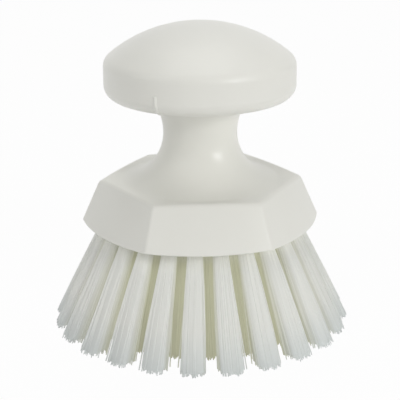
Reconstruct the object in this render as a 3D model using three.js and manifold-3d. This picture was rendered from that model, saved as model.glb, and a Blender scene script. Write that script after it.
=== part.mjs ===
// Round hand scrub brush: a domed knob on a waisted neck, moulded in one with a six-sided block,
// and four rings of splayed bristle tufts, each folded round a flat steel anchor in its drilled hole.
// Millimetres, +Z up. The bristle tips stand on z = 0 and the brush's axis is the Z axis.

import * as THREE from 'three';
import { mergeGeometries, mergeVertices } from 'three/addons/utils/BufferGeometryUtils.js';
import Module from 'manifold-3d';

const wasm = await Module();
wasm.setup();

// Driving dimensions: bristles
const TRIM_DIAMETER = 111.7; // circle round the trimmed bristle tips
const BRISTLE_LENGTH = 39; // from the block's underside straight down to the tips
const OUTER_RING_RADIUS = 33.6; // hole centres of the outer ring, on the underside
const INNER_RING_RADIUS = 7.2;
const RING_NAMES = ['outer', 'second', 'third', 'inner'];
const RING_TUFTS = [24, 20, 8, 3];
const TUFT_ROOT_DIAMETER = 5;
const TUFT_TIP_DIAMETER = 8.8;
const STRANDS_ROUND_TUFT = 6; // and one more along the tuft's axis
const STRAND_RADIUS = 0.85; // from a strand's middle to its three edges
const BACKING_THICKNESS = 2; // slice of the underside that a ring of tufts is fused to

// Driving dimensions: tuft holes and anchors
const HOLE_DEPTH = 9.2; // straight up from the underside
const ANCHOR_HEIGHT = 2;
const ANCHOR_THICKNESS = 0.5;
const FOLD_THICKNESS = 1.2; // bristles folded over the top of the anchor
const FIT_GAP = 0.3; // between pieces that seat on one another

// Driving dimensions: six-sided block
const RIM_MARGIN = 2; // from the outer tufts to the edge of the backing
const RIM_WALL = 4.1; // from there to the middle of a bowed lower edge
const CORNER_STANDOFF = 1.8; // how much further out the lower corners reach
const TOP_CORNER_RADIUS = 36.8; // corners of the straight-edged upper rim
const FACET_HEIGHT = 14.8;

// Driving dimensions: neck
const DISH_WIDTH = 5.3; // sloped land between the rim's straight edges and the neck's flare
const DISH_RISE = 1.75; // from the rim's corners up to the flare
const FLARE_HEIGHT = 15.5; // from the dish up to the waist
const WAIST_RADIUS = 13.5;
const NECK_HEIGHT = 13.35; // from the waist up to the knob
const NECK_TOP_RADIUS = 21;

// Driving dimensions: knob
const KNOB_RADIUS = 34.5;
const UNDERSIDE_RISE = 0.9; // from the neck out to the knob's lower edge
const KNOB_SIDE_HEIGHT = 13.55;
const DOME_HEIGHT = 13.2;
const GRIP_FILLET = 4.8; // lower edge, where the fingers curl under
const SHOULDER_FILLET = 3.4; // upper edge, into the dome

// How finely round shapes are faceted
const STEPS_PER_FACET = 10;
const BACKING_SIDES = 36;
const HOLE_SIDES = 6;
const STRAND_SIDES = 3;
const FLARE_STEPS = 6;
const NECK_STEPS = 5;
const GRIP_STEPS = 4;
const SHOULDER_STEPS = 3;
const DOME_STEPS = 7;
const CUT_PAST = 1; // how far a cutter runs past the faces that it cuts

// Heights of the main levels
const undersideZ = BRISTLE_LENGTH;
const backingTopZ = undersideZ + BACKING_THICKNESS;
const plugTopZ = undersideZ + HOLE_DEPTH - FIT_GAP;
const rimZ = undersideZ + FACET_HEIGHT;
const dishZ = rimZ + DISH_RISE;
const waistZ = dishZ + FLARE_HEIGHT;
const neckTopZ = waistZ + NECK_HEIGHT;
const knobEdgeZ = neckTopZ + UNDERSIDE_RISE;
const apexZ = knobEdgeZ + KNOB_SIDE_HEIGHT + DOME_HEIGHT;

// The block's six facets, the middle of one facing -Y
const FACETS = 6;
const FRONT = -Math.PI / 2;
const facetAngle = (2 * Math.PI) / FACETS;

// Radii that follow from the tuft rings and the block
const recessRadius = OUTER_RING_RADIUS + TUFT_ROOT_DIAMETER / 2 + RIM_MARGIN;
const lowerEdgeRadius = recessRadius + RIM_WALL;
const lowerCornerRadius = lowerEdgeRadius + CORNER_STANDOFF;
const dishInnerRadius = TOP_CORNER_RADIUS * Math.cos(facetAngle / 2) - DISH_WIDTH;
const dishSlope = DISH_RISE / (TOP_CORNER_RADIUS - dishInnerRadius);
const splay = (TRIM_DIAMETER - TUFT_TIP_DIAMETER) / 2 / OUTER_RING_RADIUS;

const plastic = new THREE.MeshStandardMaterial({ color: 0xe7e7e0, roughness: 0.42, metalness: 0 });
const filament = new THREE.MeshStandardMaterial({ color: 0xeff0ea, roughness: 0.5, metalness: 0 });
const steel = new THREE.MeshStandardMaterial({ color: 0xb9bab8, roughness: 0.3, metalness: 1 });

// Solids and meshes

function toSolid(geometry) {
  const bare = geometry.clone();
  bare.deleteAttribute('normal');
  bare.deleteAttribute('uv');
  const merged = mergeVertices(bare);
  const index = merged.index.array;
  const triangles = [];
  for (let i = 0; i < index.length; i += 3) {
    const [a, b, c] = index.slice(i, i + 3);
    // Where an outline shrinks to a point, some triangles have no area.
    if (a !== b && b !== c && c !== a) triangles.push(a, b, c);
  }
  const vertProperties = new Float32Array(merged.attributes.position.array);
  const triVerts = new Uint32Array(triangles);
  return new wasm.Manifold(new wasm.Mesh({ numProp: 3, vertProperties, triVerts }));
}

function toMesh(name, solid, material) {
  const { vertProperties, triVerts } = solid.getMesh();
  const geometry = new THREE.BufferGeometry();
  geometry.setAttribute('position', new THREE.BufferAttribute(vertProperties, 3));
  geometry.setIndex(new THREE.BufferAttribute(triVerts, 1));
  geometry.computeVertexNormals();
  const mesh = new THREE.Mesh(geometry, material);
  mesh.name = name;
  return mesh;
}

// A closed skin over outlines of equal length, listed from the lowest up, with flat ends.
function loft(outlines) {
  const count = outlines[0].length;
  const positions = [];
  const index = [];
  for (const outline of outlines) {
    for (const point of outline) positions.push(point.x, point.y, point.z);
  }
  for (let level = 0; level + 1 < outlines.length; level++) {
    for (let i = 0; i < count; i++) {
      const a = level * count + i;
      const b = level * count + ((i + 1) % count);
      index.push(a, b, b + count, a, b + count, a + count);
    }
  }
  const top = (outlines.length - 1) * count;
  for (let i = 1; i + 1 < count; i++) {
    index.push(0, i + 1, i);
    index.push(top, top + i, top + i + 1);
  }
  const geometry = new THREE.BufferGeometry();
  geometry.setAttribute('position', new THREE.Float32BufferAttribute(positions, 3));
  geometry.setIndex(index);
  return geometry;
}

// A level outline of equal sides round a middle point; its first corner lies towards `start`.
function levelPolygon(middle, radius, sides, start) {
  const corners = [];
  for (let i = 0; i < sides; i++) {
    const angle = start + (i * 2 * Math.PI) / sides;
    const spoke = new THREE.Vector3(Math.cos(angle), Math.sin(angle), 0);
    corners.push(middle.clone().addScaledVector(spoke, radius));
  }
  return corners;
}

function disc(radius, fromZ, toZ) {
  const outline = (z) => levelPolygon(new THREE.Vector3(0, 0, z), radius, BACKING_SIDES, FRONT);
  return toSolid(loft([outline(fromZ), outline(toZ)]));
}

// Tufts: where each one leaves the underside, where its tips end, and its slanted frame

function tuftsOfRing(ring) {
  const share = ring / (RING_TUFTS.length - 1);
  const radius = THREE.MathUtils.lerp(OUTER_RING_RADIUS, INNER_RING_RADIUS, share);
  const count = RING_TUFTS[ring];
  const pitch = (2 * Math.PI) / count;
  // Every other ring straddles the front, so that its tufts show between those of the next.
  const start = FRONT + (ring % 2 === 0 ? pitch / 2 : 0);
  const tufts = [];
  for (let i = 0; i < count; i++) {
    const angle = start + i * pitch;
    const outward = new THREE.Vector3(Math.cos(angle), Math.sin(angle), 0);
    const tangent = new THREE.Vector3(-Math.sin(angle), Math.cos(angle), 0);
    const root = outward.clone().multiplyScalar(radius).setZ(undersideZ);
    const tip = outward.clone().multiplyScalar(radius * splay);
    const axis = root.clone().sub(tip).normalize();
    const across = tangent.clone().cross(axis);
    const frame = new THREE.Matrix4().makeBasis(tangent, axis, across).setPosition(root);
    tufts.push({ number: i + 1, angle, root, tip, frame });
  }
  return tufts;
}

// The point at a height on the line that runs through a root and a tip.
function onSlant(root, tip, z) {
  return root.clone().lerp(tip, (undersideZ - z) / BRISTLE_LENGTH);
}

// A pin with level ends along a tuft's slant; two of its flats face along the ring.
function slantedPin(tuft, diameter, fromZ, toZ) {
  const radius = diameter / 2 / Math.cos(Math.PI / HOLE_SIDES);
  const outline = (z) => {
    const middle = onSlant(tuft.root, tuft.tip, z);
    return levelPolygon(middle, radius, HOLE_SIDES, tuft.angle);
  };
  return loft([outline(fromZ), outline(toZ)]);
}

// One strand, sunk halfway into the backing and cut level at the tips.
function strand(tuft, rootOffset, tipOffset, angle) {
  const spoke = new THREE.Vector3(Math.cos(angle), Math.sin(angle), 0);
  const root = tuft.root.clone().addScaledVector(spoke, rootOffset);
  const tip = tuft.tip.clone().addScaledVector(spoke, tipOffset);
  const top = onSlant(root, tip, undersideZ + BACKING_THICKNESS / 2);
  const outline = (middle) => levelPolygon(middle, STRAND_RADIUS, STRAND_SIDES, angle + Math.PI);
  return loft([outline(tip), outline(top)]);
}

function strandsOfTuft(tuft) {
  const rootOffset = (TUFT_ROOT_DIAMETER - STRAND_RADIUS) / 2;
  const tipOffset = (TUFT_TIP_DIAMETER - STRAND_RADIUS) / 2;
  const strands = [strand(tuft, 0, 0, tuft.angle)];
  for (let i = 0; i < STRANDS_ROUND_TUFT; i++) {
    const angle = tuft.angle + (i * 2 * Math.PI) / STRANDS_ROUND_TUFT;
    strands.push(strand(tuft, rootOffset, tipOffset, angle));
  }
  return strands;
}

// Anchors: flat plates across the tufts, a fold's thickness below the top of the hole

function inTuft(tuft, width, height, thickness) {
  const slant = tuft.root.clone().sub(tuft.tip).length() / BRISTLE_LENGTH;
  const plugLength = (plugTopZ - undersideZ) * slant;
  const middle = plugLength - FOLD_THICKNESS - FIT_GAP - ANCHOR_HEIGHT / 2;
  const geometry = new THREE.BoxGeometry(width, height, thickness);
  return geometry.translate(0, middle, 0).applyMatrix4(tuft.frame);
}

function anchorWindow(tuft) {
  const width = TUFT_ROOT_DIAMETER + 2 * CUT_PAST;
  return inTuft(tuft, width, ANCHOR_HEIGHT + 2 * FIT_GAP, ANCHOR_THICKNESS + 2 * FIT_GAP);
}

function anchor(ring, tuft) {
  const geometry = inTuft(tuft, TUFT_ROOT_DIAMETER, ANCHOR_HEIGHT, ANCHOR_THICKNESS);
  const mesh = new THREE.Mesh(geometry, steel);
  mesh.name = `${RING_NAMES[ring]}_anchor_${String(tuft.number).padStart(2, '0')}`;
  return mesh;
}

// Body: six-sided block, dished top, waisted neck and domed knob in one moulding

// Points on the block's facets: a bowed lower edge, and a straight upper rim on the dish's slope.
function facetPoints(place) {
  const points = [];
  for (let facet = 0; facet < FACETS; facet++) {
    const facing = FRONT + facet * facetAngle;
    const outward = new THREE.Vector3(Math.cos(facing), Math.sin(facing), 0);
    const along = new THREE.Vector3(-outward.y, outward.x, 0);
    for (let step = 0; step < STEPS_PER_FACET; step++) {
      const share = (2 * step) / STEPS_PER_FACET - 1;
      points.push(place(outward, along, share));
    }
  }
  return points;
}

function lowerEdge() {
  const chord = lowerCornerRadius * Math.cos(facetAngle / 2);
  const half = lowerCornerRadius * Math.sin(facetAngle / 2);
  const bow = lowerEdgeRadius - chord;
  return facetPoints((outward, along, share) => {
    const point = outward.clone().multiplyScalar(chord + bow * (1 - share * share));
    return point.addScaledVector(along, half * share).setZ(undersideZ);
  });
}

function upperRim() {
  const apothem = TOP_CORNER_RADIUS * Math.cos(facetAngle / 2);
  const half = TOP_CORNER_RADIUS * Math.sin(facetAngle / 2);
  return facetPoints((outward, along, share) => {
    const point = outward.clone().multiplyScalar(apothem).addScaledVector(along, half * share);
    return point.setZ(rimZ + dishSlope * (TOP_CORNER_RADIUS - point.length()));
  });
}

// The turned part of the body as (radius, height) points, from the dish up to the dome's top.
function handleProfile() {
  const handle = 0.55; // makes a Bezier's bend close to an ellipse
  const run = handle * (dishInnerRadius - WAIST_RADIUS);
  const flare = new THREE.CubicBezierCurve(
    new THREE.Vector2(dishInnerRadius, dishZ),
    new THREE.Vector2(dishInnerRadius - run, dishZ + dishSlope * run),
    new THREE.Vector2(WAIST_RADIUS, waistZ - handle * FLARE_HEIGHT),
    new THREE.Vector2(WAIST_RADIUS, waistZ),
  );
  const hollow = NECK_TOP_RADIUS - WAIST_RADIUS;
  const neck = new THREE.EllipseCurve(
    NECK_TOP_RADIUS, waistZ, hollow, NECK_HEIGHT, Math.PI, Math.PI / 2, true,
  );
  const gripX = KNOB_RADIUS - GRIP_FILLET;
  const gripZ = knobEdgeZ + GRIP_FILLET;
  const grip = new THREE.EllipseCurve(gripX, gripZ, GRIP_FILLET, GRIP_FILLET, -Math.PI / 2, 0);
  const domeRadius = (KNOB_RADIUS ** 2 + DOME_HEIGHT ** 2) / (2 * DOME_HEIGHT);
  const domeZ = apexZ - domeRadius;
  const shoulderX = KNOB_RADIUS - SHOULDER_FILLET;
  const shoulderZ = domeZ + Math.sqrt((domeRadius - SHOULDER_FILLET) ** 2 - shoulderX ** 2);
  const lean = Math.atan2(shoulderZ - domeZ, shoulderX);
  const shoulder = new THREE.EllipseCurve(
    shoulderX, shoulderZ, SHOULDER_FILLET, SHOULDER_FILLET, 0, lean,
  );
  const dome = new THREE.EllipseCurve(0, domeZ, domeRadius, domeRadius, lean, Math.PI / 2);
  return [
    ...flare.getPoints(FLARE_STEPS),
    ...neck.getPoints(NECK_STEPS).slice(1),
    ...grip.getPoints(GRIP_STEPS),
    ...shoulder.getPoints(SHOULDER_STEPS),
    ...dome.getPoints(DOME_STEPS).slice(1),
  ];
}

function brushBody(rings) {
  const corner = FRONT - facetAngle / 2;
  const turned = handleProfile().map(({ x, y }) => {
    return levelPolygon(new THREE.Vector3(0, 0, y), x, FACETS * STEPS_PER_FACET, corner);
  });
  const moulding = toSolid(loft([lowerEdge(), upperRim(), ...turned]));
  const recess = disc(recessRadius, undersideZ - CUT_PAST, backingTopZ + FIT_GAP);
  const holeDiameter = TUFT_ROOT_DIAMETER + 2 * FIT_GAP;
  const holeTopZ = undersideZ + HOLE_DEPTH;
  const holes = rings.flat().map((tuft) => slantedPin(tuft, holeDiameter, undersideZ, holeTopZ));
  const solid = moulding.subtract(recess).subtract(toSolid(mergeGeometries(holes)));
  return toMesh('brush_body', solid, plastic);
}

// Bristle rings: a slice of the underside with the tufts' roots above it and their strands below

// The slices meet halfway between the rings, a gap apart.
function backing(ring) {
  const last = RING_TUFTS.length - 1;
  const step = (OUTER_RING_RADIUS - INNER_RING_RADIUS) / last;
  const radius = OUTER_RING_RADIUS - ring * step;
  const outer = ring === 0 ? recessRadius - FIT_GAP : radius + (step - FIT_GAP) / 2;
  const plate = disc(outer, undersideZ, backingTopZ);
  if (ring === last) return plate;
  const inner = radius - (step - FIT_GAP) / 2;
  return plate.subtract(disc(inner, undersideZ - CUT_PAST, backingTopZ + CUT_PAST));
}

function bristleRing(ring, tufts) {
  const sunkZ = undersideZ + BACKING_THICKNESS / 2;
  const plugs = tufts.map((tuft) => slantedPin(tuft, TUFT_ROOT_DIAMETER, sunkZ, plugTopZ));
  const windows = tufts.map(anchorWindow);
  const strands = tufts.flatMap(strandsOfTuft);
  const solid = backing(ring)
    .add(toSolid(mergeGeometries(plugs)))
    .subtract(toSolid(mergeGeometries(windows)))
    .add(toSolid(mergeGeometries(strands)));
  return toMesh(`${RING_NAMES[ring]}_bristle_ring`, solid, filament);
}

const brush = new THREE.Group();
const rings = RING_TUFTS.map((count, ring) => tuftsOfRing(ring));
brush.add(brushBody(rings));
rings.forEach((tufts, ring) => {
  brush.add(bristleRing(ring, tufts));
  for (const tuft of tufts) brush.add(anchor(ring, tuft));
});

export default brush;
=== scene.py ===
# %% [markdown]
# # A round hand scrub brush
# The brush is a knob, a neck and a six-sided block moulded in one piece of off-white plastic, with
# tufts of white filament set in holes in the block's underside and held there by flat steel
# anchors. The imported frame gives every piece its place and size; this lesson gives them their
# looks.

# %% Open the frame
import math
import random

import bmesh
import bpy
from mathutils import Matrix, Vector


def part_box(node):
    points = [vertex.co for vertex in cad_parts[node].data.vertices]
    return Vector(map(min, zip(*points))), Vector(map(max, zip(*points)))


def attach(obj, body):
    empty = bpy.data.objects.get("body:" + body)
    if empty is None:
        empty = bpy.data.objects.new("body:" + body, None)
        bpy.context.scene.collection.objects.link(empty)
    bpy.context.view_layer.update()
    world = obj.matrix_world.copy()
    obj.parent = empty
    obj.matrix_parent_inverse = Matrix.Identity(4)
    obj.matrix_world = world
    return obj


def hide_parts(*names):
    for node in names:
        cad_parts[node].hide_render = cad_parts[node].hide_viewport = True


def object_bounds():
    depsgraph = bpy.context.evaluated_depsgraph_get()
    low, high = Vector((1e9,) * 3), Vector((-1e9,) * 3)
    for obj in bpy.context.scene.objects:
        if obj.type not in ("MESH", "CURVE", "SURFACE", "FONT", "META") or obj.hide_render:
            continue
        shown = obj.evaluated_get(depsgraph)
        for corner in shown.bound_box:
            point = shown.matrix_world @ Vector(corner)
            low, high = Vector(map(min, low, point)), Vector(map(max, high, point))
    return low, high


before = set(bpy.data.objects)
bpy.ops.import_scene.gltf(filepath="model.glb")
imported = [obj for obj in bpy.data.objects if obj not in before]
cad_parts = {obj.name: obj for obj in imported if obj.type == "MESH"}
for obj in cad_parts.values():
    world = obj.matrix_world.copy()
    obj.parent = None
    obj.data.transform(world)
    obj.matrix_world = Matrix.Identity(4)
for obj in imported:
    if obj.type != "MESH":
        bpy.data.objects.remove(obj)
cad_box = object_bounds()
MM = 0.001
print("frame with", len(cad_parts), "nodes, box", [round(v / MM, 1) for v in cad_box[1]])

# %% [markdown]
# The block has a corner on the X axis and the middle of a facet on the Y axis, so the body's box
# gives its two lower radii. The other sizes are the moulding's own: heights stack up from the
# underside.

# %% Sizes of the moulding
body_low, body_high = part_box("brush_body")
underside_z = body_low.z
apex_z = body_high.z
lower_corner = body_high.x
lower_edge = body_high.y
FACETS = 6
FACET_HEIGHT = 15.4 * MM
TOP_CORNER = 37.2 * MM
RIM_ARCH = 0.5 * MM
DISH_SLOPE = math.radians(6)
WAIST_RADIUS = 13.5 * MM
WAIST_HEIGHT = 33.05 * MM
FLARE_RADIUS = 17.8 * MM
NECK_ARC_RADIUS = 20.7 * MM
NECK_HEIGHT = 12.35 * MM
KNOB_RADIUS = 34.7 * MM
UNDERSIDE_RISE = 0.9 * MM
GRIP_FILLET = 4.8 * MM
DOME_HEIGHT = 13.2 * MM
SHOULDER_FILLET = 4.6 * MM
rim_z = underside_z + FACET_HEIGHT
waist_z = underside_z + WAIST_HEIGHT
neck_top_z = waist_z + NECK_HEIGHT
knob_edge_z = neck_top_z + UNDERSIDE_RISE
print("underside, rim, waist, knob edge, apex in mm:",
      [round(z / MM, 1) for z in (underside_z, rim_z, waist_z, knob_edge_z, apex_z)])

# %% [markdown]
# The photograph looks down on the brush from in front, a little left of the middle of a facet, with
# a long lens. A focal length in pixels, times the sensor's width and over the frame's width in
# pixels, is the lens in millimetres.

# %% Camera
VIEW_TURN = math.radians(-4.11)
VIEW_DISTANCE = 420 * MM
VIEW_HEIGHT = 186.1 * MM
VIEW_SIDESTEP = -0.2 * MM
VIEW_PITCH = math.radians(18.52)
VIEW_ROLL = math.radians(-0.3)
FOCAL_PIXELS = 1189.5
FRAME_PIXELS = 400
SENSOR_MM = 36
camera_data = bpy.data.cameras.new("photo_camera")
camera_data.sensor_width = SENSOR_MM
camera_data.lens = FOCAL_PIXELS * SENSOR_MM / FRAME_PIXELS
camera = bpy.data.objects.new("photo_camera", camera_data)
bpy.context.scene.collection.objects.link(camera)
turn = Matrix.Rotation(VIEW_TURN, 4, "Z")
tilt = Matrix.Rotation(math.pi / 2 - VIEW_PITCH, 4, "X") @ Matrix.Rotation(VIEW_ROLL, 4, "Z")
spot = Matrix.Translation((VIEW_SIDESTEP, -VIEW_DISTANCE, VIEW_HEIGHT))
camera.matrix_world = turn @ spot @ tilt
bpy.context.scene.camera = camera
print("camera lens", round(camera_data.lens, 1), "mm")

# %% [markdown]
# The brush stands in a white studio. A large soft light overhead lends the plastic a sheen. A small
# bright one at the front right and weaker ones round the other sides leave no glint. The floor is
# white to the eye and still takes a faint shadow, because most of its brightness is its own and
# only a share of it is light that falls on it.

# %% Node helpers
def node(tree, kind, **values):
    """Adds a node to a tree and sets its properties."""
    made = tree.nodes.new(kind)
    for name, value in values.items():
        setattr(made, name, value)
    return made


def seen_directly(tree):
    """1 for rays that show the backdrop itself: straight, mirrored or through glass."""
    path = node(tree, "ShaderNodeLightPath")
    total = path.outputs["Is Camera Ray"]
    for name in ("Is Glossy Ray", "Is Transmission Ray"):
        most = node(tree, "ShaderNodeMath", operation="MAXIMUM")
        tree.links.new(total, most.inputs[0])
        tree.links.new(path.outputs[name], most.inputs[1])
        total = most.outputs[0]
    return total


# %% World
AMBIENT_STRENGTH = 0.24
WHITE = (1, 1, 1, 1)

bpy.context.scene.view_settings.view_transform = "Standard"
world = bpy.data.worlds.new("white_studio")
world.use_nodes = True
bpy.context.scene.world = world
tree = world.node_tree
around = tree.nodes["Background"]
around.inputs["Color"].default_value = WHITE
around.inputs["Strength"].default_value = AMBIENT_STRENGTH
shown = node(tree, "ShaderNodeBackground")
shown.inputs["Color"].default_value = WHITE
mix = node(tree, "ShaderNodeMixShader")
tree.links.new(seen_directly(tree), mix.inputs[0])
tree.links.new(around.outputs[0], mix.inputs[1])
tree.links.new(shown.outputs[0], mix.inputs[2])
tree.links.new(mix.outputs[0], tree.nodes["World Output"].inputs["Surface"])
print("world", world.name)

# %% Floor
FLOOR_SIZE = 8.0
FLOOR_GLOW = 0.96
FLOOR_TONE = (0.9, 0.9, 0.9, 1)

floor_paper = bpy.data.materials.new("floor_paper")
floor_paper.use_nodes = True
tree = floor_paper.node_tree
tree.nodes.remove(tree.nodes["Principled BSDF"])
matt = node(tree, "ShaderNodeBsdfDiffuse")
matt.inputs["Color"].default_value = FLOOR_TONE
glow = node(tree, "ShaderNodeEmission")
glow.inputs["Color"].default_value = WHITE
share = node(tree, "ShaderNodeMath", operation="MULTIPLY")
tree.links.new(seen_directly(tree), share.inputs[0])
share.inputs[1].default_value = FLOOR_GLOW
mix = node(tree, "ShaderNodeMixShader")
tree.links.new(share.outputs[0], mix.inputs[0])
tree.links.new(matt.outputs[0], mix.inputs[1])
tree.links.new(glow.outputs[0], mix.inputs[2])
tree.links.new(mix.outputs[0], tree.nodes["Material Output"].inputs["Surface"])


def mesh_object(name, bm, material):
    """Turns a bmesh into a linked object of one material."""
    mesh = bpy.data.meshes.new(name)
    bm.to_mesh(mesh)
    bm.free()
    mesh.materials.append(material)
    made = bpy.data.objects.new(name, mesh)
    bpy.context.scene.collection.objects.link(made)
    return made


bm = bmesh.new()
bmesh.ops.create_grid(bm, x_segments=1, y_segments=1, size=FLOOR_SIZE / 2)
floor = mesh_object("floor", bm, floor_paper)
print("floor", FLOOR_SIZE, "m")

# %% Lamps
# Name, azimuth and elevation in degrees, distance, width and height in metres, watts, glints.
LAMPS = (
    ("overhead_softbox", 180, 80, 1.0, 0.7, 0.7, 2.45, True),
    ("right_softbox", 47, 17, 1.1, 0.3, 0.3, 4.2, False),
    ("front_softbox", 5, 8, 1.2, 0.8, 0.4, 0.2, False),
    ("left_front_softbox", -42, 40, 1.1, 0.6, 0.6, 1.95, False),
    ("left_softbox", -70, 20, 1.1, 0.6, 0.6, 1.1, False),
    ("side_softbox", 85, 15, 1.1, 0.5, 0.5, 0.35, False),
    ("back_softbox", 180, 35, 1.1, 0.8, 0.5, 1.2, False),
)


def bearing_ray(azimuth, elevation):
    """The direction away from the brush at two angles in degrees, from the camera's side."""
    bearing = math.radians(azimuth)
    rise = math.radians(elevation)
    return turn @ Vector((math.sin(bearing) * math.cos(rise), -math.cos(bearing) * math.cos(rise),
                          math.sin(rise)))


def place_lamp(name, data, away, distance, aim):
    """Links a lamp that stands off from a point, in a direction away from it, and shines at it."""
    lamp = bpy.data.objects.new(name, data)
    lamp.location = away * distance + aim
    lamp.rotation_euler = away.to_track_quat("Z", "Y").to_euler()
    bpy.context.scene.collection.objects.link(lamp)
    return lamp


def softbox(name, azimuth, elevation, distance, width, height, watts, glints):
    """A soft light that points at the middle of the body."""
    data = bpy.data.lights.new(name, "AREA")
    data.shape = "RECTANGLE"
    data.size = width
    data.size_y = height
    data.energy = watts
    aim = Vector((0, 0, (underside_z + apex_z) / 2))
    lamp = place_lamp(name, data, bearing_ray(azimuth, elevation), distance, aim)
    lamp.visible_glossy = glints


for lamp_values in LAMPS:
    softbox(*lamp_values)
print("lamps", [values[0] for values in LAMPS])

# %% [markdown]
# The neck, the shoulder of the knob and the near corner of the block each carry a small soft glint.
# A softbox bright enough for them would burn out the dish and the dome, which mirror it towards the
# far side. So narrow beams give the glints, each only where it is aimed; the neck's wider glint
# takes two of them.

# %% Glint beams
GLINT_DISTANCE = 0.6
GLINT_ELEVATION = 17
GLINT_SOURCE = 3 * MM
BEAM_BLEND = 0.6
# Name, azimuth in degrees, watts, width of the beam, and its aim as azimuth, radius and height.
GLINT_BEAMS = (
    ("neck_glint_left", 45, 2.7, 16 * MM, (31, 16 * MM, 63 * MM)),
    ("neck_glint_right", 57, 2.7, 16 * MM, (37, 16 * MM, 63 * MM)),
    ("shoulder_glint", 44, 4.7, 30 * MM, (22, 34 * MM, 98 * MM)),
    ("corner_glint", 47, 4.2, 21 * MM, (33, 42 * MM, 43 * MM)),
)


def glint_beam(name, azimuth, watts, width, aim):
    """A narrow beam that shows only as a glint, where it is aimed."""
    aim_azimuth, aim_radius, aim_height = aim
    data = bpy.data.lights.new(name, "SPOT")
    data.energy = watts
    data.spot_size = 2 * math.atan(width / 2 / GLINT_DISTANCE)
    data.spot_blend = BEAM_BLEND
    data.shadow_soft_size = GLINT_SOURCE
    target = bearing_ray(aim_azimuth, 0) * aim_radius + Vector((0, 0, aim_height))
    lamp = place_lamp(name, data, bearing_ray(azimuth, GLINT_ELEVATION), GLINT_DISTANCE, target)
    lamp.visible_diffuse = False


for beam_values in GLINT_BEAMS:
    glint_beam(*beam_values)
print("glint beams", [values[0] for values in GLINT_BEAMS])

# %% [markdown]
# Moulded plastic is never quite even: its skin has a fine grain from the tool and slow, faint
# clouds where the melt flowed. Both come from noise in Object coordinates, so that they stay put on
# the piece. Filament and steel use them too, so they are one node group with its own scales.

# %% Shared grain
NOISE_DETAIL = {"Cloud": 3.0, "Grain": 2.0}


def moulding_grain():
    group = bpy.data.node_groups.new("moulding_grain", "ShaderNodeTree")
    for name in NOISE_DETAIL:
        group.interface.new_socket(name + " Scale", in_out="INPUT", socket_type="NodeSocketFloat")
    for name in NOISE_DETAIL:
        group.interface.new_socket(name, in_out="OUTPUT", socket_type="NodeSocketFloat")
    entry = node(group, "NodeGroupInput")
    leave = node(group, "NodeGroupOutput")
    place = node(group, "ShaderNodeTexCoord")
    for name, detail in NOISE_DETAIL.items():
        noise = node(group, "ShaderNodeTexNoise")
        noise.inputs["Detail"].default_value = detail
        group.links.new(place.outputs["Object"], noise.inputs["Vector"])
        group.links.new(entry.outputs[name + " Scale"], noise.inputs["Scale"])
        group.links.new(noise.outputs["Fac"], leave.inputs[name])
    return group


grain_group = moulding_grain()
print("group", grain_group.name)

# %% Helpers for materials
def plain_material(name):
    material = bpy.data.materials.new(name)
    material.use_nodes = True
    tree = material.node_tree
    return material, tree, tree.nodes["Principled BSDF"]


def grain(tree, cloud_scale, grain_scale):
    made = node(tree, "ShaderNodeGroup", node_tree=grain_group)
    made.inputs["Cloud Scale"].default_value = cloud_scale
    made.inputs["Grain Scale"].default_value = grain_scale
    return made


def spread(tree, value, low, high):
    """A number from 0 to 1 laid out between two others."""
    made = node(tree, "ShaderNodeMapRange")
    made.inputs["To Min"].default_value = low
    made.inputs["To Max"].default_value = high
    tree.links.new(value, made.inputs["Value"])
    return made.outputs["Result"]


def blend_colours(tree, factor, first, second):
    """Mixes two colours, each of them fixed or another node's output."""
    made = node(tree, "ShaderNodeMix", data_type="RGBA")
    tree.links.new(factor, made.inputs["Factor"])
    for socket, colour in ((made.inputs["A"], first), (made.inputs["B"], second)):
        if isinstance(colour, tuple):
            socket.default_value = colour
        else:
            tree.links.new(colour, socket)
    return made.outputs["Result"]


# %% Moulded plastic
PLASTIC_DEEP = (0.838, 0.834, 0.772, 1)
PLASTIC_PALE = (0.876, 0.873, 0.818, 1)
PLASTIC_ROUGHNESS = (0.28, 0.40)
PLASTIC_SCALES = (45.0, 1400.0)
PLASTIC_IOR = 1.49
PLASTIC_SPECULAR = 0.4
GRAIN_STRENGTH = 0.08
GRAIN_HEIGHT = 0.05 * MM


def moulded_plastic():
    material, tree, skin = plain_material("moulded_plastic")
    pattern = grain(tree, *PLASTIC_SCALES)
    cloud = pattern.outputs["Cloud"]
    colour = blend_colours(tree, cloud, PLASTIC_DEEP, PLASTIC_PALE)
    tree.links.new(colour, skin.inputs["Base Color"])
    tree.links.new(spread(tree, cloud, *PLASTIC_ROUGHNESS), skin.inputs["Roughness"])
    bump = node(tree, "ShaderNodeBump")
    bump.inputs["Strength"].default_value = GRAIN_STRENGTH
    bump.inputs["Distance"].default_value = GRAIN_HEIGHT
    tree.links.new(pattern.outputs["Grain"], bump.inputs["Height"])
    tree.links.new(bump.outputs["Normal"], skin.inputs["Normal"])
    skin.inputs["IOR"].default_value = PLASTIC_IOR
    skin.inputs["Specular IOR Level"].default_value = PLASTIC_SPECULAR
    return material


plastic = moulded_plastic()
print("material", plastic.name)

# %% [markdown]
# The knob, neck and flare are a turned shape. Their profile is a chain of arcs and straight runs,
# and spinning a single vertex draws an arc, so the profile grows from the top of the dome downwards
# and is then spun once round the brush's axis.

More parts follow.
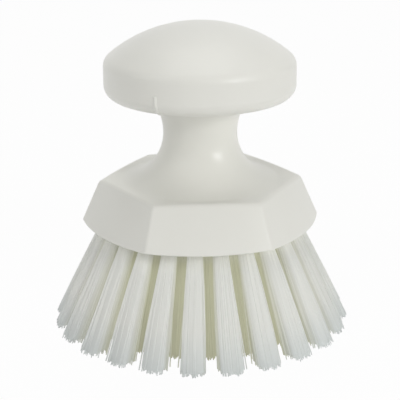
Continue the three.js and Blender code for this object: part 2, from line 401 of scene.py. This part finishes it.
# %% Profile of the handle
DOME_STEPS = 22
SHOULDER_STEPS = 8
GRIP_STEPS = 10
NECK_STEPS = 10
FLARE_STEPS = 20
NECK_FILLET = 3.0 * MM
FILLET_STEPS = 6
dome_radius = (KNOB_RADIUS ** 2 + DOME_HEIGHT ** 2) / (2 * DOME_HEIGHT)
dome_z = apex_z - dome_radius
shoulder_x = KNOB_RADIUS - SHOULDER_FILLET
shoulder_z = dome_z + math.sqrt((dome_radius - SHOULDER_FILLET) ** 2 - shoulder_x ** 2)
shoulder_angle = math.atan2(shoulder_z - dome_z, shoulder_x)
neck_rise = math.asin(NECK_HEIGHT / NECK_ARC_RADIUS)
neck_top_x = WAIST_RADIUS + NECK_ARC_RADIUS * (1 - math.cos(neck_rise))
print("dome's own radius and neck's upper radius in mm:",
      [round(r / MM, 1) for r in (dome_radius, neck_top_x)])


def swing(bm, vert, centre, angle, steps):
    """Draws an arc by spinning the chain's last vertex about a centre in the XZ plane."""
    made = bmesh.ops.spin(bm, geom=[vert], cent=centre, axis=(0, 1, 0), angle=angle, steps=steps)
    return [g for g in made["geom_last"] if isinstance(g, bmesh.types.BMVert)][0]


def run_to(bm, vert, x, z):
    """Draws a straight run from the chain's last vertex."""
    end = bmesh.ops.extrude_vert_indiv(bm, verts=[vert])["verts"][0]
    end.co = (x, 0, z)
    return end


def grip_profile(bm, vert):
    """From a vertex on the knob's side: round its lower edge and in to the neck."""
    vert = run_to(bm, vert, KNOB_RADIUS, knob_edge_z + GRIP_FILLET)
    grip_centre = (KNOB_RADIUS - GRIP_FILLET, 0, knob_edge_z + GRIP_FILLET)
    vert = swing(bm, vert, grip_centre, math.pi / 2, GRIP_STEPS)
    return run_to(bm, vert, neck_top_x, neck_top_z)


def neck_profile(bm, corner):
    """From the top of the neck: in to the waist, out along the flare; the corner is rounded."""
    vert = swing(bm, corner, (WAIST_RADIUS + NECK_ARC_RADIUS, 0, waist_z), -neck_rise, NECK_STEPS)
    sweep = math.pi / 2 - DISH_SLOPE
    vert = swing(bm, vert, (WAIST_RADIUS + FLARE_RADIUS, 0, waist_z), -sweep, FLARE_STEPS)
    bmesh.ops.bevel(bm, geom=[corner], offset=NECK_FILLET, offset_type="OFFSET",
                    segments=FILLET_STEPS, profile=0.5, affect="VERTICES", material=-1)
    return vert


def handle_profile(bm):
    vert = bm.verts.new((0, 0, apex_z))
    vert = swing(bm, vert, (0, 0, dome_z), math.pi / 2 - shoulder_angle, DOME_STEPS)
    vert = swing(bm, vert, (shoulder_x, 0, shoulder_z), shoulder_angle, SHOULDER_STEPS)
    return neck_profile(bm, grip_profile(bm, vert))


# %% Spin the handle
STEPS_PER_FACET = 32
ROUND_STEPS = FACETS * STEPS_PER_FACET
MERGE = 0.001 * MM

body_mesh = bmesh.new()
last = handle_profile(body_mesh)
dish_radius, dish_z = last.co.x, last.co.z
bmesh.ops.spin(body_mesh, geom=body_mesh.verts[:] + body_mesh.edges[:], cent=(0, 0, 0),
               axis=(0, 0, 1), angle=2 * math.pi, steps=ROUND_STEPS, use_merge=True)
bmesh.ops.remove_doubles(body_mesh, verts=body_mesh.verts, dist=MERGE)
dish_edges = [e for e in body_mesh.edges if e.is_boundary]
print("handle", len(body_mesh.faces), "faces; open ring of", len(dish_edges), "edges at radius",
      round(dish_radius / MM, 2), "height", round(dish_z / MM, 2))

# %% [markdown]
# The block starts as a sharp six-sided ring, each side cut into short steps. The ring is the upper
# rim, arched a little along each side. Pulled down and bowed out it makes the facets, drawn in it
# makes the underside, and a bridge to the handle's open edge makes the dished top. A wide bevel
# then softens the rim. What is still sharp, the lower edge and the six corners, is found by the
# angle between its faces and softened in one go, so that the narrow bevels join where they meet.

# %% Rings of the block
facet_angle = 2 * math.pi / FACETS
print(FACETS, "facets of", round(math.degrees(facet_angle)), "degrees")


def facet_place(point):
    """The bearing of a point's facet, and the point's distances out to the facet and along it."""
    angle = math.atan2(point.y, point.x)
    facing = (math.floor(angle / facet_angle) + 0.5) * facet_angle
    radius = math.hypot(point.x, point.y)
    return facing, radius * math.cos(angle - facing), radius * math.sin(angle - facing)


def rim_ring(bm):
    """The block's upper rim as a ring of loose edges."""
    upright = Matrix.Translation((0, 0, rim_z)) @ Matrix.Rotation(facet_angle / 2, 4, "Z")
    bmesh.ops.create_circle(bm, segments=FACETS, radius=TOP_CORNER, matrix=upright)
    sides = [e for e in bm.edges if e.is_wire]
    bmesh.ops.subdivide_edges(bm, edges=sides, cuts=STEPS_PER_FACET - 1)
    return [e for e in bm.edges if e.is_wire]


def pull(bm, edges):
    """Extrudes a ring of edges and gives the new ring's vertices and edges."""
    made = bmesh.ops.extrude_edge_only(bm, edges=edges)["geom"]
    verts = [g for g in made if isinstance(g, bmesh.types.BMVert)]
    edges = [g for g in made if isinstance(g, bmesh.types.BMEdge)]
    return verts, [e for e in edges if all(v in verts for v in e.verts)]


def edges_along(bm, ring):
    """The edges that join the vertices of a ring."""
    ring = set(ring)
    return [e for e in bm.edges if e.verts[0] in ring and e.verts[1] in ring]


def ends_of(edges):
    """The vertices of some edges, each once."""
    return list(dict.fromkeys(v for e in edges for v in e.verts))


def bow_out(verts):
    """Moves a ring to the block's lower outline, whose sides swell between the corners."""
    grow = lower_corner / TOP_CORNER
    half_side = lower_corner * math.sin(facet_angle / 2)
    bow = lower_edge - lower_corner * math.cos(facet_angle / 2)
    for vert in verts:
        facing, out, along = facet_place(vert.co)
        out = out * grow + bow * (1 - (along * grow / half_side) ** 2)
        vert.co = Matrix.Rotation(facing, 4, "Z") @ Vector((out, along * grow, underside_z))


# %% Build the block under the handle
UNDERSIDE_STRIP = 0.95
rim_edges = rim_ring(body_mesh)
rim_verts = ends_of(rim_edges)
rim_depth = TOP_CORNER * (1 - math.cos(facet_angle / 2))
for vert in rim_verts:
    vert.co.z += RIM_ARCH * (TOP_CORNER - math.hypot(vert.co.x, vert.co.y)) / rim_depth
lower_verts, lower_edges = pull(body_mesh, rim_edges)
bow_out(lower_verts)
inner_verts, inner_edges = pull(body_mesh, lower_edges)
bmesh.ops.scale(body_mesh, verts=inner_verts, vec=(UNDERSIDE_STRIP, UNDERSIDE_STRIP, 1))
bmesh.ops.contextual_create(body_mesh, geom=inner_edges)
bmesh.ops.bridge_loops(body_mesh, edges=rim_edges + dish_edges)
print("body with sharp edges", len(body_mesh.faces), "faces")

# %% Soften the block's edges
RIM_SOFTENING = 1.35 * MM
RIM_STEPS = 6
SHARP_ANGLE = math.radians(22)
EDGE_SOFTENING = 0.6 * MM
EDGE_STEPS = 4
bmesh.ops.bevel(body_mesh, geom=edges_along(body_mesh, rim_verts), offset=RIM_SOFTENING,
                offset_type="OFFSET", segments=RIM_STEPS, profile=0.5, affect="EDGES", material=-1)
bmesh.ops.recalc_face_normals(body_mesh, faces=body_mesh.faces)
sharp_edges = [e for e in body_mesh.edges if e.calc_face_angle(0) > SHARP_ANGLE]
bmesh.ops.bevel(body_mesh, geom=sharp_edges, offset=EDGE_SOFTENING, offset_type="OFFSET",
                segments=EDGE_STEPS, profile=0.5, affect="EDGES", material=-1)
bmesh.ops.recalc_face_normals(body_mesh, faces=body_mesh.faces)
for face in body_mesh.faces:
    face.smooth = len(face.verts) < ROUND_STEPS
print("body", len(body_mesh.faces), "faces, sharp edges softened", len(sharp_edges), "open edges",
      sum(e.is_boundary or e.is_wire for e in body_mesh.edges))

# %% [markdown]
# Each tuft sits in a blind hole that slants outwards, more in the outer rings, so that the tips fan
# out. The anchors in the frame mark every hole: a tuft's line runs through its anchor's middle, and
# all the lines meet at one point on the brush's axis. A Boolean cuts the holes in one go. A
# Weighted Normal modifier after it keeps the wide facets flat, which smooth shading alone would
# round off.

# %% Tuft places from the anchors
RINGS = ("outer", "second", "third", "inner")
TIP_SPLAY = 1.531
tuft_places = {}
for ring in RINGS:
    tuft_places[ring] = []
    for name in sorted(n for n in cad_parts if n.startswith(ring + "_anchor")):
        low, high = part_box(name)
        middle = (Vector(low) + Vector(high)) / 2
        drawn_in = (TIP_SPLAY - 1) * (middle.z - underside_z) / underside_z
        root_radius = math.hypot(middle.x, middle.y) / (1 - drawn_in)
        tuft_places[ring].append((root_radius, math.atan2(middle.y, middle.x)))
    print(ring, "ring:", len(tuft_places[ring]), "tufts at", round(root_radius / MM, 1), "mm")


def tuft_frame(root_radius, angle):
    """Leans an upright tuft out along its radius and turns it to its place. Heights stay level."""
    lean = Matrix.Identity(4)
    lean[0][2] = -root_radius * (TIP_SPLAY - 1) / underside_z
    lean[0][3] = root_radius * TIP_SPLAY
    return Matrix.Rotation(angle, 4, "Z") @ lean


# %% Holes in the underside
HOLE_RADIUS = 2.65 * MM
HOLE_DEPTH = 9.2 * MM
HOLE_SIDES = 20
CUT_PAST = 1.0 * MM

brush_moulding = mesh_object("brush_moulding", body_mesh, plastic)
drills = bmesh.new()
for ring in RINGS:
    for root_radius, angle in tuft_places[ring]:
        upright = Matrix.Translation((0, 0, underside_z + (HOLE_DEPTH - CUT_PAST) / 2))
        bmesh.ops.create_cone(drills, cap_ends=True, segments=HOLE_SIDES, radius1=HOLE_RADIUS,
                              radius2=HOLE_RADIUS, depth=HOLE_DEPTH + CUT_PAST,
                              matrix=tuft_frame(root_radius, angle) @ upright)
cutter = mesh_object("drills", drills, plastic)
cut = brush_moulding.modifiers.new("tuft_holes", "BOOLEAN")
cut.operation = "DIFFERENCE"
cut.solver = "EXACT"
cut.object = cutter
weigh = brush_moulding.modifiers.new("facet_shading", "WEIGHTED_NORMAL")
weigh.mode = "FACE_AREA"
drilled = bpy.data.meshes.new_from_object(
    brush_moulding.evaluated_get(bpy.context.evaluated_depsgraph_get()))
brush_moulding.modifiers.clear()
brush_moulding.data = drilled
bpy.data.objects.remove(cutter)
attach(brush_moulding, "root")
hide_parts("brush_body")
print("drilled body", len(drilled.polygons), "faces")

# %% [markdown]
# Where the two side halves of the mould met, a fine raised line runs down the lower part of the
# knob's side and round its grip, on two opposite sides. It is a narrow strip of the same profile,
# lifted to a rounded ridge along its middle and given thickness so that it sinks into the skin.

# %% Parting lines
PARTING_REACH = 7.4 * MM
PARTING_ANGLES = (-2 * math.pi / 3, math.pi / 3)
PARTING_WIDTH = math.radians(2.8)
PARTING_STEPS = 6
PARTING_HEIGHT = 0.36 * MM
PARTING_SUNK = 0.03 * MM
PARTING_DEPTH = 0.3 * MM
PARTING_FADE = 0.7 * MM


def parting_line(bm, angle):
    """Adds one raised line, at an angle round the knob, to a mesh."""
    strip = bmesh.new()
    top_z = knob_edge_z + PARTING_REACH
    top = strip.verts.new((KNOB_RADIUS, 0, top_z))
    grip_profile(strip, run_to(strip, top, KNOB_RADIUS, top_z - PARTING_FADE))
    bmesh.ops.spin(strip, geom=strip.verts[:] + strip.edges[:], cent=(0, 0, 0), axis=(0, 0, 1),
                   angle=PARTING_WIDTH, steps=PARTING_STEPS)
    bmesh.ops.recalc_face_normals(strip, faces=strip.faces)
    strip.normal_update()
    knob_middle = Vector((0, 0, top_z))
    outward = sum(f.normal.dot(f.calc_center_median() - knob_middle) for f in strip.faces)
    if outward < 0:
        bmesh.ops.reverse_faces(strip, faces=strip.faces)
        strip.normal_update()
    lifts = {}
    for vert in strip.verts:
        across = math.atan2(vert.co.y, vert.co.x) / PARTING_WIDTH
        height = PARTING_HEIGHT * min(1, (top_z - vert.co.z) / PARTING_FADE)
        lifts[vert] = vert.normal * (height * math.sin(math.pi * across) ** 2 - PARTING_SUNK)
    for vert, lift in lifts.items():
        vert.co += lift
    skin = strip.faces[:]
    bmesh.ops.solidify(strip, geom=skin, thickness=PARTING_DEPTH)
    for face in strip.faces:
        face.smooth = face in skin
    bmesh.ops.rotate(strip, verts=strip.verts, cent=(0, 0, 0),
                     matrix=Matrix.Rotation(angle - PARTING_WIDTH / 2, 3, "Z"))
    mesh = bpy.data.meshes.new("parting_strip")
    strip.to_mesh(mesh)
    strip.free()
    bm.from_mesh(mesh)
    bpy.data.meshes.remove(mesh)


lines = bmesh.new()
for angle in PARTING_ANGLES:
    parting_line(lines, angle)
parting_lines = mesh_object("parting_lines", lines, plastic)
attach(parting_lines, "root")
print("parting lines", len(parting_lines.data.polygons), "faces")

# %% [markdown]
# The filaments are white nylon and look whitest on the outside. Their colour also carries painted
# light and shade: a yellowish painted shade that deepens towards the middle of the brush, where
# light arrives only through much nylon, a bluish, slightly darker painted cast at the cut tips, and
# painted light that makes the roots pale against the block's shadow. So their colour follows a
# point's place in the brush: its height, and its distance out as a share of what the outermost
# filaments reach at that height. Each strand also has a tone of its own.

# %% Place in the brush
OUTER_ROOT_REACH = 36.1 * MM


def share_of_reach(tree, place):
    """How far out a point lies, as a share of the outermost filaments' distance at its height."""
    flat = node(tree, "ShaderNodeVectorMath", operation="MULTIPLY")
    tree.links.new(place.outputs["Object"], flat.inputs[0])
    flat.inputs[1].default_value = (1, 1, 0)
    out = node(tree, "ShaderNodeVectorMath", operation="LENGTH")
    tree.links.new(flat.outputs["Vector"], out.inputs[0])
    axes = node(tree, "ShaderNodeSeparateXYZ")
    tree.links.new(place.outputs["Object"], axes.inputs[0])
    reach = node(tree, "ShaderNodeMapRange", clamp=False)
    reach.inputs["From Max"].default_value = underside_z
    reach.inputs["To Min"].default_value = cad_box[1].x
    reach.inputs["To Max"].default_value = OUTER_ROOT_REACH
    tree.links.new(axes.outputs["Z"], reach.inputs["Value"])
    share = node(tree, "ShaderNodeMath", operation="DIVIDE")
    tree.links.new(out.outputs["Value"], share.inputs[0])
    tree.links.new(reach.outputs["Result"], share.inputs[1])
    return share.outputs[0], axes.outputs["Z"]


# %% Filament material
FILAMENT_WHITE = (0.888, 0.895, 0.85, 1)
# Painted light at the cut tips: a bluish, slightly darker cast.
FILAMENT_TIP_LIGHT = (0.82, 0.865, 0.855, 1)
# Painted shade deep in the brush, yellowish as light that has passed through much nylon.
FILAMENT_PAINTED_SHADE = (0.60, 0.60, 0.42, 1)
FILAMENT_SHADE = (0.62, 0.62, 0.55, 1)
# Painted light at the roots, which lifts the block's shadow there.
FILAMENT_ROOT_LIGHT = (0.95, 0.95, 0.86, 1)
TIP_REACH = 14 * MM
ROOT_REACH = 8 * MM
ROOT_PAINTED_LIGHT = 0.7
STRAND_SPREAD = 0.18
# Shares of the reach between which the painted shade gives way to the outer colour.
PAINTED_SHADE_SHARE = 0.86
WHITE_SHARE = 0.98
FILAMENT_ROUGHNESS = (0.30, 0.50)
FILAMENT_SCALES = (300.0, 2500.0)


def filament_nylon():
    material, tree, skin = plain_material("filament_nylon")
    place = node(tree, "ShaderNodeTexCoord")
    share, rise = share_of_reach(tree, place)
    # Painted light: the bluish cast of the cut tips, by height.
    height = node(tree, "ShaderNodeMapRange")
    height.inputs["From Max"].default_value = TIP_REACH
    tree.links.new(rise, height.inputs["Value"])
    outer = blend_colours(tree, height.outputs["Result"], FILAMENT_TIP_LIGHT, FILAMENT_WHITE)
    # Painted shade: the colour deepens towards the middle of the brush.
    depth = node(tree, "ShaderNodeMapRange")
    depth.inputs["From Min"].default_value = PAINTED_SHADE_SHARE
    depth.inputs["From Max"].default_value = WHITE_SHARE
    tree.links.new(share, depth.inputs["Value"])
    colour = blend_colours(tree, depth.outputs["Result"], FILAMENT_PAINTED_SHADE, outer)
    # Painted light: the colour pales towards the roots.
    near_root = node(tree, "ShaderNodeMapRange")
    near_root.inputs["From Min"].default_value = underside_z - ROOT_REACH
    near_root.inputs["From Max"].default_value = underside_z
    near_root.inputs["To Max"].default_value = ROOT_PAINTED_LIGHT
    tree.links.new(rise, near_root.inputs["Value"])
    colour = blend_colours(tree, near_root.outputs["Result"], colour, FILAMENT_ROOT_LIGHT)
    tone = node(tree, "ShaderNodeAttribute", attribute_name="tone")
    dark = node(tree, "ShaderNodeMix", data_type="RGBA", blend_type="MULTIPLY")
    tree.links.new(spread(tree, tone.outputs["Fac"], STRAND_SPREAD, 0.0), dark.inputs["Factor"])
    tree.links.new(colour, dark.inputs["A"])
    dark.inputs["B"].default_value = FILAMENT_SHADE
    tree.links.new(dark.outputs["Result"], skin.inputs["Base Color"])
    cloud = grain(tree, *FILAMENT_SCALES).outputs["Cloud"]
    tree.links.new(spread(tree, cloud, *FILAMENT_ROUGHNESS), skin.inputs["Roughness"])
    return material


nylon = filament_nylon()
print("material", nylon.name)

# %% [markdown]
# A tuft is some two hundred filaments, folded in its hole and trimmed level at the tips. Straight
# copies of one filament look like a comb, so each gets its own root, tip, bend and length from a
# seeded generator. Four tufts made this way, turned and leaned into place, fill all the holes.

# %% One filament
FILAMENT_SIDES = 4
FILAMENT_RADIUS = 0.21 * MM


def filament(bm, root, tip, bend, shares, tone):
    """One strand: a small ring at the root, pulled to the tip in steps and closed there."""
    layer = bm.verts.layers.float["tone"]
    ring = bmesh.ops.create_circle(bm, cap_ends=True, segments=FILAMENT_SIDES,
                                   radius=FILAMENT_RADIUS, matrix=Matrix.Translation(root))["verts"]
    edges = list(dict.fromkeys(e for v in ring for e in v.link_edges))
    for vert in ring:
        vert[layer] = tone
    here = root
    for share in shares:
        there = root.lerp(tip, share) + bend * math.sin(math.pi * share)
        ring, edges = pull(bm, edges)
        bmesh.ops.translate(bm, verts=ring, vec=there - here)
        here = there
        for vert in ring:
            vert[layer] = tone
    bmesh.ops.contextual_create(bm, geom=edges)


# %% Packed middle of a tuft
ROOT_DISC = 2.3 * MM
TIP_DISC = 4.05 * MM
TIP_SQUARENESS = 6
ROOT_SUNK = 3.0 * MM
CORE_SHARE = 0.985
CORE_LIFT = 1.2 * MM
CORE_SIDES = 20
CORE_TONE = 0.5


def squared(ray):
    """Moves a point of a round bundle to its place in one with flattened sides, as at the tips."""
    size = ray.length
    if size == 0:
        return ray.copy()
    power = TIP_SQUARENESS
    flat = (abs(ray.x / size) ** power + abs(ray.y / size) ** power) ** (1 / power)
    return ray / flat


def tuft_core(bm):
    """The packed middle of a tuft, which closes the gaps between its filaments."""
    layer = bm.verts.layers.float["tone"]
    top = underside_z + ROOT_SUNK
    low = ROOT_DISC + (TIP_DISC - ROOT_DISC) * (1 - CORE_LIFT / top)
    made = bmesh.ops.create_cone(bm, cap_ends=True, segments=CORE_SIDES, radius1=low * CORE_SHARE,
                                 radius2=ROOT_DISC * CORE_SHARE, depth=top - CORE_LIFT,
                                 matrix=Matrix.Translation((0, 0, (top + CORE_LIFT) / 2)))
    for vert in made["verts"]:
        vert[layer] = CORE_TONE
        if vert.co.z < top / 2:
            vert.co.xy = squared(Vector((vert.co.x, vert.co.y, 0))).xy


# %% Tuft variants
TUFT_VARIANTS = 4
FILAMENTS = 190
GOLDEN_ANGLE = math.pi * (3 - math.sqrt(5))
ANGLE_JITTER = 0.25
TIP_JITTER = 0.25 * MM
SHELL = 0.86
STRAY_SHARE = 0.05
STRAY_REACH = (0.3 * MM, 1.2 * MM)
STRAY_PINCH = 0.5
RAGGED = 1.6 * MM
RAGGED_POWER = 2.5
BEND = 0.3 * MM
SIDE_BEND = 0.5
BEND_SHARES = (0.35, 0.7, 1.0)
STUB = 3.0 * MM
CUT_END = 0.7


def tuft(seed):
    """A bundle of filaments with ragged tips. Those inside the shell are only stubs at the tip."""
    rng = random.Random(seed)
    bm = bmesh.new()
    bm.verts.layers.float.new("tone")
    tuft_core(bm)
    for count in range(FILAMENTS):
        spot = math.sqrt((count + 0.5) / FILAMENTS)
        angle = count * GOLDEN_ANGLE + rng.uniform(-ANGLE_JITTER, ANGLE_JITTER)
        ray = Vector((math.cos(angle), math.sin(angle), 0)) * spot
        stray = Vector((rng.gauss(0, 1), rng.gauss(0, 1), 0)) * TIP_JITTER
        root = ray * ROOT_DISC + Vector((0, 0, underside_z + ROOT_SUNK))
        tip = squared(ray) * TIP_DISC + stray
        for axis in (0, 1):
            tip[axis] = max(-TIP_DISC, min(TIP_DISC, tip[axis]))
        if spot > SHELL and rng.random() < STRAY_SHARE:
            tip.y = math.copysign(TIP_DISC + rng.uniform(*STRAY_REACH), tip.y)
            tip.x *= STRAY_PINCH
        tip.z = RAGGED * rng.random() ** RAGGED_POWER
        sideways = Vector((rng.gauss(0, 1), rng.gauss(0, 1), 0)) * BEND * SIDE_BEND
        bend = sideways + ray * BEND
        shares = BEND_SHARES
        if spot < SHELL:
            root = tip.lerp(root, (CORE_LIFT + STUB) / root.z)
            bend, shares = Vector(), (1.0,)
        filament(bm, root, tip, bend, shares, rng.random())
    bmesh.ops.recalc_face_normals(bm, faces=bm.faces)
    for face in bm.faces:
        face.smooth = abs(face.normal.z) < CUT_END
    mesh = bpy.data.meshes.new("tuft_%d" % seed)
    bm.to_mesh(mesh)
    bm.free()
    return mesh


tufts = [tuft(seed) for seed in range(TUFT_VARIANTS)]
print("tufts of", FILAMENTS, "filaments,", len(tufts[0].polygons), "faces each")

# %% [markdown]
# White nylon lets light through, and tufts that stop it look dark and hard. So the rings hold back
# neither lamps nor bounced light, and the shade they would throw among themselves is painted into
# the filament's colour instead. Each strand's shading also leans towards that of one smooth ring,
# as it does where neighbours light each other.

# %% Bristle rings
RING_SHADING = 0.4
RING_SEED = 11


def shade_as_ring(mesh, lean):
    """Turns the shading of all but the cut ends towards that of one smooth ring."""
    turned = []
    for vert in mesh.vertices:
        outward = Vector((vert.co.x, vert.co.y, 0)).normalized() + Vector((0, 0, lean))
        turned.append(vert.normal.lerp(outward.normalized(), RING_SHADING).normalized())
    corners = []
    for face in mesh.polygons:
        cut_end = abs(face.normal.z) > CUT_END
        corners.extend(Vector() if cut_end else turned[index] for index in face.vertices)
    mesh.normals_split_custom_set(corners)


rng = random.Random(RING_SEED)
for ring in RINGS:
    bm = bmesh.new()
    for root_radius, angle in tuft_places[ring]:
        before = len(bm.verts)
        bm.from_mesh(tufts[rng.randrange(TUFT_VARIANTS)])
        bm.verts.ensure_lookup_table()
        half_turns = Matrix.Rotation(rng.randrange(2) * math.pi, 4, "Z")
        place = tuft_frame(root_radius, angle) @ half_turns
        bmesh.ops.transform(bm, matrix=place, verts=bm.verts[before:])
    piece = mesh_object(ring + "_tufts", bm, nylon)
    piece.visible_shadow = False
    piece.visible_diffuse = False
    shade_as_ring(piece.data, root_radius * (TIP_SPLAY - 1) / underside_z)
    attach(piece, "root")
    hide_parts(ring + "_bristle_ring")
    print(piece.name, len(piece.data.polygons), "faces")
for mesh in tufts:
    bpy.data.meshes.remove(mesh)

# %% [markdown]
# The anchors are flat strips of steel, each pressed across its hole to hold the folded filaments.
# Their CAD solids have the right shape already and only get their finish: dull steel, a little
# uneven from drawing.

# %% Anchor steel
STEEL_DARK = (0.46, 0.46, 0.45, 1)
STEEL_PALE = (0.62, 0.62, 0.61, 1)
STEEL_ROUGHNESS = (0.25, 0.5)
STEEL_SCALES = (700.0, 4000.0)


def anchor_steel():
    material, tree, skin = plain_material("drawn_steel")
    skin.inputs["Metallic"].default_value = 1.0
    pattern = grain(tree, *STEEL_SCALES)
    colour = blend_colours(tree, pattern.outputs["Cloud"], STEEL_DARK, STEEL_PALE)
    tree.links.new(colour, skin.inputs["Base Color"])
    rough = spread(tree, pattern.outputs["Grain"], *STEEL_ROUGHNESS)
    tree.links.new(rough, skin.inputs["Roughness"])
    return material


steel = anchor_steel()
anchors = [o for name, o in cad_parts.items() if "_anchor_" in name]
for anchor in anchors:
    anchor.data.materials.clear()
    anchor.data.materials.append(steel)
print(len(anchors), "anchors in", steel.name)
